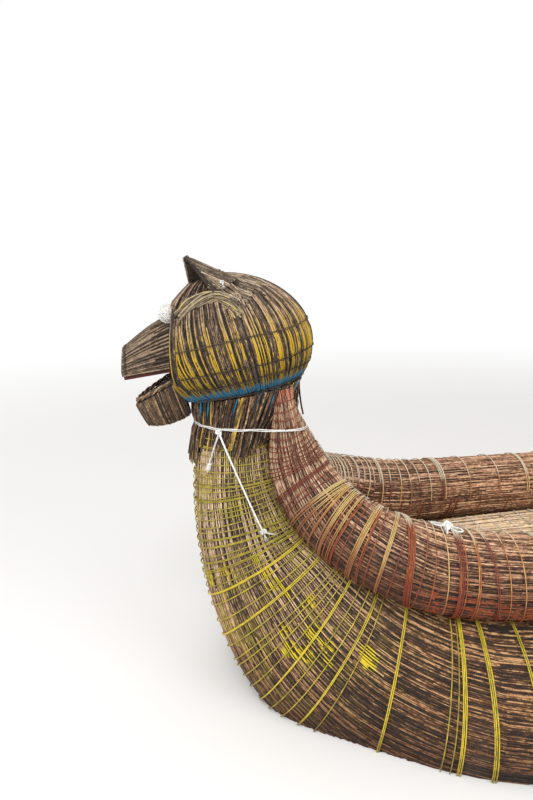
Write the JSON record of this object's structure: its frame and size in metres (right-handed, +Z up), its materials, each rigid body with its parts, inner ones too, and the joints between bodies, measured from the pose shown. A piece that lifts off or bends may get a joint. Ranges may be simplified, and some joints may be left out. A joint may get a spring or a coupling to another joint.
{
  "type": "reed boat",
  "caption": "Bound-reed boat of two fat bundles with gunwale rolls, a reed deck, an upswept stern and a bow post that carries an animal head with open jaws.",
  "frame": {"origin": "at the waterline, amidships on the centreline between the two hull bundles", "axes": "+X to the bow along the hull, +Y to port, +Z up from the water"},
  "size_m": [8.1805, 2.3298, 2.5242],
  "materials": {
    "hull_reed": "weathered bound reed",
    "roll_reed": "weathered bound reed",
    "deck_reed": "dry straw matting",
    "bedding_reed": "packed reed",
    "head_reed": "grey-brown sewn reed with yellow and blue dabs",
    "brow_reed": "yellowed reed",
    "ear_reed": "sewn reed",
    "jaw_reed": "sewn reed",
    "palate": "dark red painted reed",
    "skirt_reed": "dark loose reed ends",
    "eye_yarn": "loose white netting",
    "cord": "thin twisted cord",
    "dark_cord": "thin dark thread",
    "rope": "worn pale rope",
    "stern_reed": "cut reed ends"
  },
  "bodies": {
    "root": {"hull_bundle_port": "hull_reed", "hull_bundle_starboard": "hull_reed", "gunwale_roll_port": "roll_reed", "gunwale_roll_starboard": "roll_reed", "deck_mat": "deck_reed", "deck_bedding": "bedding_reed", "head_skull": "head_reed", "upper_jaw": "jaw_reed", "palate": "palate", "lower_jaw": "jaw_reed", "jaw_rim": "dark_cord", "brow_roll_port": "brow_reed", "brow_roll_starboard": "brow_reed", "ear_port": "ear_reed", "ear_starboard": "ear_reed", "eye_port": "eye_yarn", "eye_starboard": "eye_yarn", "neck_skirt": "skirt_reed", "neck_tie": "rope", "head_stitching": "dark_cord", "face_rim_port": "head_reed", "face_rim_starboard": "head_reed", "hull_lashings_port": "cord", "hull_lashings_starboard": "cord", "roll_lashings_port": "cord", "roll_lashings_starboard": "cord", "stern_binding": "cord", "stern_tuft": "stern_reed", "neck_rope": "rope", "neck_rope_knot": "rope", "neck_rope_end_knot": "rope", "short_rope": "rope", "short_rope_knot": "rope", "gunwale_knot": "rope"}
  },
  "joints": []
}
